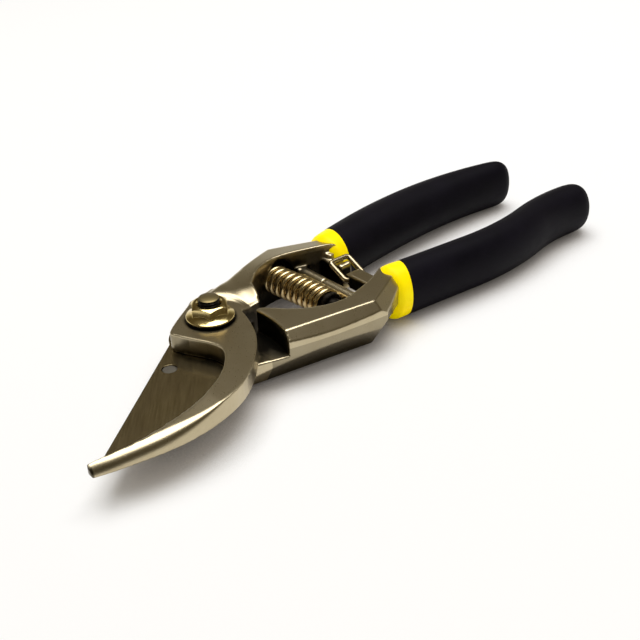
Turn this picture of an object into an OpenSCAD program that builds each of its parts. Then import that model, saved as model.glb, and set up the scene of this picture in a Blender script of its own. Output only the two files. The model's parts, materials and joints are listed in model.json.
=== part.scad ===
// Bypass pruner, closed and latched. Millimetres, +Z up.
// The origin is on the pivot axis at the underside of the bolt's head. The tip is towards -X and the
// grips towards +X. The blade half (near handle, -Y) stays still and the hook half (far handle, +Y)
// turns about the pivot.

/* [Pivot] */
// Diameter of the bolt's shank
bolt_d = 6; // [5:0.5:7]
// Height of the bolt's hexagon head
head_h = 3; // [2.5:0.25:4]
// Across flats of the head and of the nut
hex_af = 10; // [9:0.5:11]
// Diameter of the nut's flange
flange_d = 14.2; // [13:0.2:15]
// Height of the nut
nut_h = 4.8; // [4.4:0.2:6]
// Thickness of the black washer
washer_t = 0.8; // [0.5:0.1:1.2]
// Length of thread that shows above the nut
thread_end = 1.5; // [1:0.25:3]
// Side of the bolt's square neck
neck_w = 7; // [6:0.5:8]

/* [Blade] */
// Thickness of the blade plate
blade_t = 3.5; // [3:0.25:4]
// Distance of the blade's tip from the pivot along the tool
blade_reach = 55; // [50:1:57]
// Distance of the blade's straight spine from the pivot
spine_off = 11; // [10:0.5:12]
// Radius of the curved cutting edge
edge_r = 43; // [40:1:46]
// Radius of the plate around the pivot
plate_r = 12.7; // [12:0.1:13.5]
// Width of the bevel ground under the cutting edge
bevel_w = 4; // [3:0.5:5]
// Diameter of the flush pin
pin_d = 4.5; // [3.5:0.25:5.5]

/* [Hook] */
// Thickness of the boss and of the hook's heel
boss_t = 5.8; // [5:0.2:7]
// Thickness of the hook at its tip
tip_t = 3.2; // [3:0.1:4.5]
// Distance of the hook's tip from the pivot along the tool
hook_reach = 58.4; // [54:0.2:62]
// Distance of the hook's belly from the tool's middle line
hook_belly = 38.4; // [36:0.2:41]

/* [Handles] */
// Lowest face of the forged arms
arm_z0 = 1.5; // [1:0.25:3]
// Top face of the forged arms
arm_z1 = 16.5; // [16:0.25:17.5]
// Thickness of the lap under the blade plate
lap_t = 3; // [2.5:0.25:4]
// Width of the bevel along the arms' outer top edge
arm_bevel = 2.6; // [1.5:0.1:3.2]
// Angle that the handles open from closed
open_angle = 28; // [20:1:30]

/* [Grips] */
// Height of the grips, which rest on the ground
grip_h = 18; // [17.5:0.25:20]
// Length of the near grip with its collar, without its rounded end
near_grip_l = 91; // [80:1:100]
// Length of the far grip with its collar, without its rounded end
far_grip_l = 89; // [80:1:100]
// Width of the near grip
near_grip_w = 14.6; // [14:0.2:17]
// Width of the far grip
far_grip_w = 16.8; // [14:0.2:18]
// Swell of the far grip's middle
far_swell = 2.8; // [0:0.2:3]
// Taper of the far grip towards its end
far_taper = 5; // [0:0.5:6]
// Thickness of the vinyl
vinyl_t = 2.4; // [1.8:0.2:3]
// Length of the yellow collar that shows
collar_l = 5.5; // [5:0.5:9]
// Thickness of the yellow layer
yellow_t = 1.1; // [0.8:0.1:1.3]
// Length of the yellow layer under the black one
yellow_under = 10; // [6:1:16]
// Radius that the grips' ends are rounded to
end_round = 6; // [4:0.5:6.5]
// Length of grip past the end of the tang
tang_short = 8; // [5:1:20]

/* [Spring] */
// Outer diameter of the coil spring
spring_od = 9.6; // [9:0.2:10.4]
// Diameter of the spring's wire
spring_wire = 1.8; // [1.5:0.1:2]
// Number of turns
spring_turns = 10; // [8:1:11]
// Place of the spring along the tool
spring_x = 36.5; // [35:0.5:38]

/* [Latch] */
// Diameter of the bail's wire
bail_wire = 1.8; // [1.5:0.1:2]
// Width of the bail between the middles of its legs
bail_w = 7.5; // [7:0.25:8]
// Length of the bail's legs
bail_l = 8.4; // [8:0.2:9]
// Rise of the latched bail above level
bail_rise = 24.6; // [22:0.2:27]
// Radius of the catch that the bail hooks over
nib_r = 1.2; // [1:0.1:1.3]

/* [Hidden] */
$fn = 72;

run_gap = 0.05;      // between the blade plate, the boss and the washer
fit_gap = 0.08;      // round a fixed pin, bolt or bore
skin_gap = 0.04;     // between the steel and the layers of vinyl
stop_gap = 0.3;      // between faces that stop the motion
big = 60;            // half the side of the cutting blocks

lap_z = head_h;
plate_z = lap_z + lap_t;
shear_z = plate_z + blade_t;
boss_z = shear_z + run_gap;
boss_top = boss_z + boss_t;
washer_z = boss_top + run_gap;
nut_z = washer_z + washer_t;
bolt_top = nut_z + nut_h + thread_end;
mid_z = grip_h / 2;

// Hand-chosen points of the outlines, smoothed by curve()
heel = [[9.7, 0.4], [7.8, -7.7], [3.8, -16.9], [-2.9, -25.3], [-12.9, -33.4]];
belly = [[-25.4, 0.7 - hook_belly], [-38, -hook_belly], [-0.88 * hook_reach, 2 - hook_belly]];
tip_w = 2.4;
tip_y = 3.7 - hook_belly;
jaw = [[-0.92 * hook_reach, 5.5 - hook_belly], [-44, -34], [-34, -33.3], [-24.5, -31.2],
    [-16, -26.7], [-10.2, -21.3], [-7.2, -16.3]];
throat = [[-7.4, -12.3], [-9.4, -8], [-11.6, -3.6], [-12.6, -1.2]];
boss_side = [[-13.2, 0.4], [-12.4, 2.2], [-6.8, 6.6], [1.7, 12.4]];
far_outer = [[10.8, 15.2], [26.4, 21.4], [36, 25], [41, 25.2], [54.5, 18.8], [58, 17.2]];
far_inner = [[58, 8.2], [54.5, 9.4], [48, 11.8], [38.3, 14.4], [31.8, 14.4], [26.4, 12.4], [20.2, 7],
    [18.2, 2.2], [16.4, -1.6]];
near_outer = [[-1, -21.4], [9.2, -24.3], [23.1, -27.2], [40, -29.2], [43.5, -28.6], [54.5, -21.4],
    [57, -20]];
near_inner = [[57, -11.4], [54.5, -12.2], [48, -15.6], [40, -18.2], [34, -19.4], [28, -18.4], [21.3, -15],
    [16.8, -10.6], [13.4, -6.9], [10.6, -6.9]];

spine_a = 39.6;
spine_way = [cos(spine_a), sin(spine_a)];
spine_out = spine_off * [-sin(spine_a), cos(spine_a)];
blade_tip = [-blade_reach, (spine_off - blade_reach * sin(spine_a)) / cos(spine_a)];
edge_a0 = -114;
edge_a1 = -43;
edge_c = blade_tip - edge_r * [cos(edge_a0), sin(edge_a0)];
heel_x = -1.2;
pin_at = [-18.9, -6.4];

function blend(a, b, c, d, t) = 0.5 * (2 * b + (c - a) * t + (2 * a - 5 * b + 4 * c - d) * t * t
    + (3 * b - a - 3 * c + d) * t * t * t);
function curve(p, steps = 4) = [
    for (i = [0:len(p) - 2]) for (k = [0:steps - 1])
        blend(p[max(i - 1, 0)], p[i], p[i + 1], p[min(i + 2, len(p) - 1)], k / steps),
    p[len(p) - 1]];
function turned(p, a) = [p.x * cos(a) - p.y * sin(a), p.x * sin(a) + p.y * cos(a)];

// Grips: each run is a length and the angle that it turns
near_start = [54.5, -16.3];
near_head = -5;
near_path = [[34, 0], [32, 18], [near_grip_l - 66, -20]];
far_start = [54.5, 13.8];
far_head = 15;
far_path = [[46, -11], [far_grip_l - 46, -16]];

near_line = [near_start, near_head, near_path, 0, 0];
far_line = [far_start, far_head, far_path, far_swell, far_taper];
ring_sides = 20;

// The place and heading at a distance s along a path that starts at p with heading a
function station(path, p, a, s, i = 0) =
    let (run = path[i][0], turn = path[i][1], last = i == len(path) - 1,
        d = last ? s : min(s, run), t = turn * d / run, r = turn == 0 ? 0 : run / (turn * PI / 180),
        q = p + turned(turn == 0 ? [d, 0] : r * [sin(t), 1 - cos(t)], a))
    last || s <= run ? [q, a + t] : station(path, q, a + t, s - run, i + 1);
function along(line, s) = station(line[2], line[0], line[1], s);
function path_l(line) = [for (run = line[2]) run[0]] * [for (run = line[2]) 1];

// One oval ring across a grip's middle line at s, w wide before the swell and taper, and h high
function ring(line, s, w, h, k = 1) =
    let (st = along(line, s), c = st[0], a = st[1], part = max(0, min(1, s / path_l(line))),
        half = k * (w + line[3] * sin(180 * part) - line[4] * pow(part, 3)) / 2)
    [for (i = [0:ring_sides - 1]) let (b = 360 * i / ring_sides, u = half * cos(b))
        [c.x - sin(a) * u, c.y + cos(a) * u, mid_z + h / 2 * sin(b)]];

// A closed skin through rings of equal count
module skin(rings) {
    n = ring_sides;
    last = len(rings) - 1;
    walls = [for (i = [0:last - 1]) for (k = [0:n - 1]) let (j = (k + 1) % n)
        [i * n + k, (i + 1) * n + k, (i + 1) * n + j, i * n + j]];
    ends = [[for (k = [0:n - 1]) k], [for (k = [n - 1:-1:0]) last * n + k]];
    polyhedron([for (r = rings) each r], concat(walls, ends));
}

// The oval body of a grip from s0 to s1, plain or with a rounded end
module sleeve(line, s0, s1, w, h, end_r = 0) {
    straight = s1 - end_r;
    count = max(1, round((straight - s0) / 6));
    skin(concat([for (i = [0:count]) ring(line, s0 + (straight - s0) * i / count, w, h)],
        end_r == 0 ? [] : [for (f = [20, 40, 58, 74, 86]) ring(line, straight + end_r * sin(f), w,
            h - 2 * end_r * (1 - cos(f)), cos(f))]));
}

// The outline of a flat bar w wide along a grip's middle line from s0 to s1
function bar(line, s0, s1, w) = let (n = 16) concat(
    [for (i = [0:n]) let (st = along(line, s0 + (s1 - s0) * i / n)) st[0] + turned([0, -w / 2], st[1])],
    [for (i = [n:-1:0]) let (st = along(line, s0 + (s1 - s0) * i / n)) st[0] + turned([0, w / 2], st[1])]);

// Cuts away what lies outside the sloping plane through the line from p to q at height z; side 1 is
// to the left of the line and side -1 to its right
module plane_cut(p, q, z, slope, side) {
    way = q - p;
    translate([p.x, p.y, z]) rotate([0, 0, atan2(way.y, way.x)]) rotate([side * slope, 0, 0])
        translate([-big, side > 0 ? 0 : -big, -big]) cube([3 * big, big, 2 * big]);
}

module bore(d, z0, z1) { translate([0, 0, z0 - 1]) cylinder(d = d, h = z1 - z0 + 2); }

// ---- blade half ----

near_ridge = [[9.2, -24.3], [40, -29.2], [54.5, -21.4]];
ear_x = 52.5;
ear_w = bail_w - bail_wire - 2 * 0.2;
hinge = [-3.4, 10.5];    // y and z of the bail's hinge line
bumper_x = 41.5;
bumper_w = 4.5;
spring_z = 9.5;
near_end = -9.5;         // y of the spring's ends
far_end = 16.5;
peg_d = 5.4;
peg_root = 23;           // the pegs are rooted this far from the middle plane
seat_d = 8;
seat_t = 1.5;

module arm_prism(outline) {
    translate([0, 0, arm_z0]) linear_extrude(arm_z1 - arm_z0) polygon(outline);
}

// Cuts the bevel along an arm's outer top edge and the draft below the parting line; side as above
module bevels(ridge, side) {
    for (i = [0, 1]) {
        plane_cut(ridge[i], ridge[i + 1], arm_z1 - arm_bevel, 45, side);
        plane_cut(ridge[i], ridge[i + 1], mid_z - 1, -30, side);
    }
}

// The hook's heel where the handles are fully open, which is the wall that stops them
module heel_swing() {
    wall = [for (p = curve(heel)) turned(p, open_angle) * (1 + stop_gap / norm(p))];
    translate([0, 0, shear_z]) linear_extrude(big) polygon(concat(wall, [[-12, -big], [-big, 0], [0, 6]]));
}

// The blade in plan: a straight spine and an arc for the cutting edge, which meet at the tip
module blade_body(grow = 0) {
    steps = 14;
    polygon(concat([spine_out + 4 * spine_way],
        [for (i = [0:steps]) let (a = edge_a0 + (edge_a1 - edge_a0) * i / steps)
            edge_c + edge_r * [cos(a), sin(a)]],
        [[heel_x + grow, -17.5], [heel_x + grow, 0]]));
}

module blade_shape(grow = 0) {
    circle(r = plate_r + grow);
    blade_body(grow);
}

module latch_ear() {
    difference() {
        translate([ear_x - ear_w / 2, 0, 0]) rotate([90, 0, 90]) linear_extrude(ear_w) {
            translate(hinge) circle(d = 4);
            translate([-18, hinge.y - 3]) square([18 + hinge.x, 5]);
        }
        translate([0, hinge.x, hinge.y]) rotate([0, 90, 0])
            cylinder(d = bail_wire + 2 * fit_gap, h = 2 * big);
    }
}

module near_bumper() {
    translate([bumper_x, -20, mid_z - 4]) cube([bumper_w, 20.5, 6.5]);
}

// A hole of diameter d along the spring's axis from y0 to y1
module peg_hole(d, y0, y1) {
    translate([spring_x, y0, spring_z]) rotate([-90, 0, 0]) cylinder(d = d, h = y1 - y0);
}

// The part of the tool before the collar at the start of a grip's line
module before(line) {
    intersection() {
        children();
        translate([line[0].x, line[0].y, 0]) rotate([0, 0, line[1]]) translate([-2 * big, -big, 0])
            cube([2 * big, 2 * big, big]);
    }
}

module blade_handle() {
    color([0.47, 0.43, 0.33]) difference() {
        union() {
            before(near_line) {
                difference() {
                    arm_prism(concat(curve(near_outer), curve(near_inner), [[-1, -6.9]]));
                    bevels(near_ridge, -1);
                    heel_swing();
                }
                latch_ear();
                near_bumper();
            }
            translate([0, 0, lap_z]) linear_extrude(lap_t) {
                circle(r = plate_r - 0.6);
                polygon([[-9, 5.5], [-22, -5.2], [-27.5, -12.5], [-24, -19], [-12, -20], [0, -16],
                    [6, -8]]);
            }
            tang(near_line, near_grip_w);
        }
        // room for the blade plate, the neck, the pin and the peg
        translate([0, 0, plate_z]) linear_extrude(shear_z - plate_z + 0.01) blade_shape(fit_gap);
        translate([0, 0, arm_z0 - 1]) cylinder(r = plate_r - 0.6, h = lap_z - arm_z0 + 1);
        translate([-neck_w / 2, -neck_w / 2, 0]) cube([neck_w, neck_w, plate_z]);
        translate([pin_at.x, pin_at.y, 0]) cylinder(d = pin_d, h = plate_z);
        peg_hole(peg_d, -peg_root - fit_gap, near_end);
    }
}

module blade() {
    color([0.42, 0.39, 0.32]) difference() {
        union() {
            translate([0, 0, plate_z]) cylinder(r = plate_r, h = blade_t);
            intersection() {
                translate([0, 0, plate_z]) linear_extrude(blade_t) blade_body();
                // the bevel under the cutting edge
                translate([edge_c.x, edge_c.y, plate_z])
                    cylinder(r1 = edge_r - bevel_w, r2 = edge_r, h = blade_t);
            }
        }
        bore(bolt_d + 2 * fit_gap, plate_z, shear_z);
        translate([pin_at.x, pin_at.y, plate_z - 1]) cylinder(d = pin_d, h = blade_t + 2);
    }
}

module blade_pin() {
    color([0.62, 0.62, 0.63]) translate([pin_at.x, pin_at.y, lap_z])
        cylinder(d = pin_d - 0.04, h = shear_z - lap_z - 0.1);
}

module pivot_bolt() {
    color([0.3, 0.28, 0.25]) {
        cylinder(d = hex_af / cos(30), h = head_h, $fn = 6);
        translate([-neck_w / 2 + 0.05, -neck_w / 2 + 0.05, 0]) cube([neck_w - 0.1, neck_w - 0.1, plate_z]);
        cylinder(d = bolt_d, h = bolt_top - 0.6);
        translate([0, 0, bolt_top - 0.6]) cylinder(d1 = bolt_d, d2 = bolt_d - 1.2, h = 0.6);
    }
}

module pivot_washer() {
    color([0.08, 0.08, 0.08]) translate([0, 0, washer_z]) difference() {
        cylinder(d = flange_d - 0.4, h = washer_t);
        bore(bolt_d + 2 * fit_gap, 0, washer_t);
    }
}

module flange_nut() {
    color([0.72, 0.64, 0.44]) translate([0, 0, nut_z]) difference() {
        union() {
            cylinder(d = flange_d, h = 1);
            translate([0, 0, 1]) cylinder(d1 = flange_d, d2 = hex_af + 0.4, h = 1.3);
            intersection() {
                rotate([0, 0, 9]) cylinder(d = hex_af / cos(30), h = nut_h, $fn = 6);
                translate([0, 0, nut_h - 6]) cylinder(d1 = hex_af + 20, d2 = hex_af - 0.4, h = 6);
            }
        }
        bore(bolt_d + 2 * fit_gap, 0, nut_h);
    }
}

module coil_spring() {
    span = far_end - near_end - spring_wire;
    r = (spring_od - spring_wire) / 2;
    steps = 18;
    sides = 8;
    n = spring_turns * steps;
    ring = [for (i = [0:n]) let (a = 360 * i / steps, y = near_end + spring_wire / 2 + span * i / n)
        for (k = [0:sides - 1]) let (b = 360 * k / sides, rr = r + spring_wire / 2 * cos(b))
            [spring_x + rr * cos(a), y + spring_wire / 2 * sin(b), spring_z + rr * sin(a)]];
    sides_f = [for (i = [0:n - 1]) for (k = [0:sides - 1]) let (j = (k + 1) % sides)
        [i * sides + k, i * sides + j, (i + 1) * sides + j, (i + 1) * sides + k]];
    ends_f = [[for (k = [sides - 1:-1:0]) k], [for (k = [0:sides - 1]) n * sides + k]];
    color([0.66, 0.55, 0.36]) polyhedron(ring, concat(sides_f, ends_f));
}

// A peg whose seat is root_l above its lower end
module spring_peg(root_l) {
    cylinder(d = peg_d - 0.1, h = root_l + seat_t + 2.5);
    translate([0, 0, root_l]) cylinder(d = seat_d, h = seat_t);
}

module near_spring_peg() {
    color([0.16, 0.15, 0.14]) translate([spring_x, -peg_root, spring_z]) rotate([-90, 0, 0])
        spring_peg(peg_root + near_end - seat_t);
}

// The flat tang inside a grip, and with grow the room for it
module tang(line, w, grow = 0) {
    h = grip_h - 2 * vinyl_t - 3;
    translate([0, 0, mid_z - h / 2 - grow]) linear_extrude(h + 2 * grow)
        polygon(bar(line, -4, path_l(line) - tang_short + grow, w - 2 * vinyl_t - 1.5 + 2 * grow));
}

module under_layer(line, w, l, grow = 0) {
    thin = 2 * (vinyl_t - yellow_t - grow);
    sleeve(line, grow > 0 ? -1 : 0, l, w - thin, grip_h - thin);
}

module collar(line, w) {
    color([0.98, 0.9, 0.05]) difference() {
        union() {
            sleeve(line, 0, collar_l, w, grip_h);
            under_layer(line, w, collar_l + yellow_under);
        }
        tang(line, w, skin_gap);
    }
}

module grip(line, w) {
    color([0.07, 0.07, 0.09]) difference() {
        sleeve(line, collar_l + skin_gap, path_l(line) + end_round, w, grip_h, end_round);
        tang(line, w, skin_gap);
        under_layer(line, w, collar_l + yellow_under + skin_gap, skin_gap);
    }
}

module near_collar() { collar(near_line, near_grip_w); }

module near_grip() { grip(near_line, near_grip_w); }

// ---- hook half ----

far_ridge = [[10.8, 15.2], [38.5, 25.9], [54.5, 18.8]];
catch_w = 4.2;
taper_from = 22;
latched = hinge + bail_l * [cos(bail_rise), sin(bail_rise)];   // middle of the latched bail's arch
nib = latched - 2.85 * [cos(27), sin(27)];

module hook_shape() {
    polygon(concat(curve(concat(heel, belly, [[-hook_reach, tip_y]])),
        [[-hook_reach, tip_y + tip_w]], curve(concat(jaw, throat, boss_side)), [[10.8, 15.2], [12, 6]]));
}

// The hook gets thinner from taper_from out to its tip
module hook_plate() {
    fall = atan((boss_t - tip_t) / (hook_reach - taper_from));
    difference() {
        translate([0, 0, boss_z]) linear_extrude(boss_t) hook_shape();
        translate([-taper_from, -big, boss_top]) rotate([0, -fall, 0]) translate([-2 * big, 0, 0])
            cube([2 * big, 2 * big, big]);
    }
}

module catch_lug() {
    translate([ear_x - catch_w / 2, 0, 0]) rotate([90, 0, 90]) linear_extrude(catch_w) {
        translate(nib) circle(r = nib_r);
        translate([nib.x - nib_r, mid_z - 4]) square([2 * nib_r, nib.y - mid_z + 4]);
        translate([nib.x - nib_r, mid_z - 4])
            square([13, latched.y - bail_wire / 2 - stop_gap - mid_z + 4]);
    }
}

module far_bumper() {
    translate([bumper_x, 0.5 + stop_gap, mid_z - 4]) cube([bumper_w, 15, 6.5]);
}

module hook_handle() {
    color([0.5, 0.46, 0.36]) difference() {
        union() {
            hook_plate();
            before(far_line) {
                difference() {
                    arm_prism(concat([[2, 11.8]], curve(far_outer), curve(far_inner), [[8, -2.6]]));
                    bevels(far_ridge, 1);
                    translate([0, 0, -1]) cylinder(r = plate_r + 0.5, h = boss_z + 1);
                    // the cheek that rises from the boss to the arm
                    translate([0, 0, boss_top]) cylinder(r1 = plate_r - 1, r2 = plate_r + 5, h = 6);
                }
                catch_lug();
                far_bumper();
            }
            tang(far_line, far_grip_w);
        }
        bore(bolt_d + 2 * fit_gap, boss_z, boss_top);
        peg_hole(peg_d, 10, peg_root + fit_gap);
        peg_hole(spring_od + 0.8, 10, far_end + seat_t);
    }
}

module far_spring_peg() {
    color([0.16, 0.15, 0.14]) translate([spring_x, peg_root, spring_z]) rotate([90, 0, 0])
        spring_peg(peg_root - far_end - seat_t);
}

module far_collar() { collar(far_line, far_grip_w); }

module far_grip() { grip(far_line, far_grip_w); }

// ---- latch ----

module corner(r, d) {
    rotate_extrude(angle = 90) translate([r, 0]) circle(d = d);
}

module latch_bail() {
    r = 1.1;
    half = bail_w / 2;
    inward = (bail_w - ear_w) / 2 + 1.6;
    color([0.6, 0.55, 0.45]) translate([ear_x, hinge.x, hinge.y]) rotate([bail_rise, 0, 0])
        for (s = [0, 1]) mirror([s, 0, 0]) {
            translate([half - r, bail_l - r, 0]) corner(r, bail_wire);
            translate([half - r, r, 0]) mirror([0, 1, 0]) corner(r, bail_wire);
            translate([half, r, 0]) rotate([-90, 0, 0]) cylinder(d = bail_wire, h = bail_l - 2 * r);
            translate([0, bail_l, 0]) rotate([0, 90, 0]) cylinder(d = bail_wire, h = half - r);
            translate([half - inward, 0, 0]) rotate([0, 90, 0]) cylinder(d = bail_wire, h = inward - r);
        }
}

blade_handle();
blade();
blade_pin();
pivot_bolt();
pivot_washer();
flange_nut();
coil_spring();
near_spring_peg();
near_collar();
near_grip();
hook_handle();
far_spring_peg();
far_collar();
far_grip();
latch_bail();
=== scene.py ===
"""Bypass pruner, closed and latched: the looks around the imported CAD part. Metres, in the CAD's frame.

The camera comes first, then small modelling helpers, the finishes, the pieces from the jaw to the
grips, and the floor and lights."""
import json
import math

import bpy
import numpy as np
from mathutils import Matrix, Vector
from mathutils.bvhtree import BVHTree

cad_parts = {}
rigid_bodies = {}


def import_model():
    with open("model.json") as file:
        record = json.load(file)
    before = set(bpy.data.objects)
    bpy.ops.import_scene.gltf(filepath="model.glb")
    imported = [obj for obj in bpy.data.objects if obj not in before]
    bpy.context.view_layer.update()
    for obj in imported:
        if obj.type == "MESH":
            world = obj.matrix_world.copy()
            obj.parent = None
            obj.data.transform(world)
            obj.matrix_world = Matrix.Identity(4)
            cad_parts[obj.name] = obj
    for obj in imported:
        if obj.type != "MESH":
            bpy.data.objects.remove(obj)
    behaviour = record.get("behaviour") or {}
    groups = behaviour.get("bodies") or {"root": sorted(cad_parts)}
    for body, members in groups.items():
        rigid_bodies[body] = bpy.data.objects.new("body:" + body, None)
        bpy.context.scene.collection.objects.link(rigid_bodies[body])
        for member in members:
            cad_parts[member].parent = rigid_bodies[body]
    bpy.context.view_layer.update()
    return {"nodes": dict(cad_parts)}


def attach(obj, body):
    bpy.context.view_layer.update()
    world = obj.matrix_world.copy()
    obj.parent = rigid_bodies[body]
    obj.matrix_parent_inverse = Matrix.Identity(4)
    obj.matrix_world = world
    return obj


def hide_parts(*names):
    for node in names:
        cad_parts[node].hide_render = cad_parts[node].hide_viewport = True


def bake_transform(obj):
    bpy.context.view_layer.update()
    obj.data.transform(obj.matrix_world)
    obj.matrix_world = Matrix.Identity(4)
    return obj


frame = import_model()
bpy.context.scene.view_settings.view_transform = "Standard"
MM = 0.001

# ---------------------------------------------------------------- camera

IMAGE_W = IMAGE_H = 640
CAMERA_AT = Vector((-131.8, -214.0, 158.8)) * MM
CAMERA_YAW = 51.2          # degrees from +X towards +Y
CAMERA_DOWN = 30.3
CAMERA_ROLL = -2.55
LENS = 56.28
SENSOR = 36.0


def make_camera():
    """The photograph's camera, fitted to the image points."""
    yaw, down, roll = (math.radians(a) for a in (CAMERA_YAW, CAMERA_DOWN, CAMERA_ROLL))
    ahead = Vector((math.cos(down) * math.cos(yaw), math.cos(down) * math.sin(yaw), -math.sin(down)))
    level = Vector((math.sin(yaw), -math.cos(yaw), 0))
    above = level.cross(ahead)
    right = math.cos(roll) * level + math.sin(roll) * above
    up = -math.sin(roll) * level + math.cos(roll) * above
    data = bpy.data.cameras.new("camera")
    data.sensor_fit = "AUTO"
    data.sensor_width = SENSOR
    data.lens = LENS
    data.clip_start = 0.01
    camera = bpy.data.objects.new("camera", data)
    bpy.context.scene.collection.objects.link(camera)
    camera.matrix_world = Matrix.Translation(CAMERA_AT) @ Matrix((right, up, -ahead)).transposed().to_4x4()
    bpy.context.scene.camera = camera
    bpy.context.view_layer.update()
    return camera


camera = make_camera()

# ---------------------------------------------------------------- shared sizes, in mm

BOLT_TOP = 22.3
BLADE_UNDER = 3.0          # underside of the blade plate
BOSS_TOP = 15.35           # top face of the hook's boss
ARM_TOP = 16.5             # top face of both arms
PLATE_R = 12.7             # radius of the boss
SHEAR_Z = 9.5              # underside of the hook, which is the near arm's recess floor
HOOK_TIP_X = -58.4
HOOK_TIP_TOP = 12.75
TAPER_FROM = -22.0         # where the hook's top starts to fall towards its tip
STOP_X = 43.75             # middle of the two stop blocks
STOP_HALF = 2.25           # half of their width
STOP_TOP = 11.5
STOP_FOOT = 9.0            # height below which they keep their flat sides
NEAR_STOP_Y = (-17.0, 0.6)
FAR_STOP_Y = (0.6, 12.0)
SLACK = 0.2                # how far the remeshed surface may stray from the part's
# The hook's outer edge from the boss round the heel to the tip, as the part has it
HOOK_EDGE = [(9.7, 0.4), (7.8, -7.7), (3.8, -16.9), (-2.9, -25.3), (-12.9, -33.4), (-25.4, -37.7),
             (-38, -38.4), (-51.4, -36.4), (HOOK_TIP_X, -34.7)]
# The far arm's inner edge, round the spring bay from the collar to the boss
BAY_EDGE = [(58, 8.2), (54.5, 9.4), (48, 11.8), (38.3, 14.4), (31.8, 14.4), (26.4, 12.4), (20.2, 7),
            (18.2, 2.2), (16.4, -1.6)]

# ---------------------------------------------------------------- modelling helpers


def clear_selection():
    if bpy.context.mode != "OBJECT":
        bpy.ops.object.mode_set(mode="OBJECT")
    bpy.ops.object.select_all(action="DESELECT")


def take(piece):
    """Makes a piece the only selected object, and the active one."""
    clear_selection()
    piece.select_set(True)
    bpy.context.view_layer.objects.active = piece
    return piece


def named(name):
    """Names the object that was just added, and its mesh."""
    piece = bpy.context.object
    piece.name = name
    piece.data.name = name
    return piece


def settle(piece):
    """Puts the object at the origin, with its place in its mesh."""
    take(piece)
    bpy.ops.object.transform_apply(location=True, rotation=True, scale=True)
    return piece


def finish_with(piece, kind, **settings):
    """Adds a modifier with its settings and applies it."""
    take(piece)
    modifier = piece.modifiers.new(kind.lower(), kind)
    for key, value in settings.items():
        setattr(modifier, key, value)
    bpy.ops.object.modifier_apply(modifier=modifier.name)
    return piece


MERGE_WITHIN = 2e-6        # metres


def outward(piece):
    """Merges doubled points and turns all faces outwards."""
    take(piece)
    bpy.ops.object.mode_set(mode="EDIT")
    bpy.ops.mesh.select_all(action="SELECT")
    bpy.ops.mesh.remove_doubles(threshold=MERGE_WITHIN)
    bpy.ops.mesh.normals_make_consistent(inside=False)
    bpy.ops.object.mode_set(mode="OBJECT")
    return piece


def smooth(piece, angle=30.0):
    """Shades the piece smooth, apart from edges sharper than the angle in degrees."""
    take(piece)
    bpy.ops.object.shade_smooth_by_angle(angle=math.radians(angle))
    return piece


def smooth_all(piece):
    """Shades the piece smooth all over."""
    take(piece)
    bpy.ops.object.shade_smooth()
    return piece


def soften(piece, width, angle=30.0):
    """Rounds the piece's sharp edges by a bevel of width mm."""
    return finish_with(piece, "BEVEL", width=width * MM, segments=2, limit_method="ANGLE",
                       angle_limit=math.radians(angle), miter_outer="MITER_ARC")


def copy_of_node(node, name):
    """A merged copy of a CAD node's mesh, ready to be worked on."""
    piece = frame["nodes"][node].copy()
    piece.data = frame["nodes"][node].data.copy()
    piece.parent = None
    for key in list(piece.keys()):
        del piece[key]
    bpy.context.scene.collection.objects.link(piece)
    piece.matrix_world = Matrix.Identity(4)
    piece.name = piece.data.name = name
    return outward(piece)


def turned(name, profile, at, sides=96, turn=0.0, fill="NGON"):
    """A solid of revolution about Z, or a prism with few sides: a disc is added at the foot of the
    profile, then extruded and scaled step by step. The profile is [(radius, height), ...] in mm.
    Without the fill, a circle of edges goes round a closed profile and leaves a ring."""
    radius, height = profile[0]
    x, y, z = at
    clear_selection()
    bpy.ops.mesh.primitive_circle_add(vertices=sides, radius=radius * MM, fill_type=fill,
                                      location=(x * MM, y * MM, (z + height) * MM),
                                      rotation=(0, 0, math.radians(turn)))
    bpy.ops.object.mode_set(mode="EDIT")
    bpy.ops.mesh.select_all(action="SELECT")
    for r, h in profile[1:]:
        bpy.ops.mesh.extrude_region_move(TRANSFORM_OT_translate={"value": (0, 0, (h - height) * MM)})
        k = r / radius
        bpy.ops.transform.resize(value=(k, k, 1), center_override=(x * MM, y * MM, (z + h) * MM))
        radius, height = r, h
    bpy.ops.object.mode_set(mode="OBJECT")
    return outward(settle(named(name)))


def cut(piece, cutter, how="DIFFERENCE"):
    """Cuts a piece by another, or joins or meets them, and removes the other."""
    finish_with(piece, "BOOLEAN", object=cutter, operation=how, solver="EXACT")
    bpy.data.objects.remove(cutter)
    return piece


def points_of(piece):
    """The places of a piece's vertices, in mm."""
    co = np.empty(len(piece.data.vertices) * 3)
    piece.data.vertices.foreach_get("co", co)
    return co.reshape(-1, 3) / MM


def set_points(piece, points):
    """Moves a piece's vertices to places in mm."""
    piece.data.vertices.foreach_set("co", (points * MM).ravel())
    piece.data.update()


def neighbours(piece):
    """The ends of all edges, and how many edges meet at each vertex."""
    edges = np.empty(len(piece.data.edges) * 2, int)
    piece.data.edges.foreach_get("vertices", edges)
    a, b = edges.reshape(-1, 2).T
    count = len(piece.data.vertices)
    return a, b, np.maximum(np.bincount(a, minlength=count) + np.bincount(b, minlength=count), 1)


def mean_around(value, a, b, meeting):
    """For each vertex, the mean of a value over the vertices next to it."""
    count = len(value)
    return (np.bincount(a, value[b], count) + np.bincount(b, value[a], count)) / meeting


def tree_of(pieces):
    """Some pieces as one tree to cast rays at."""
    points, faces = [], []
    for piece in pieces:
        start = len(points)
        points += [piece.matrix_world @ v.co for v in piece.data.vertices]
        faces += [[start + i for i in p.vertices] for p in piece.data.polygons]
    return BVHTree.FromPolygons(points, faces)


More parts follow.
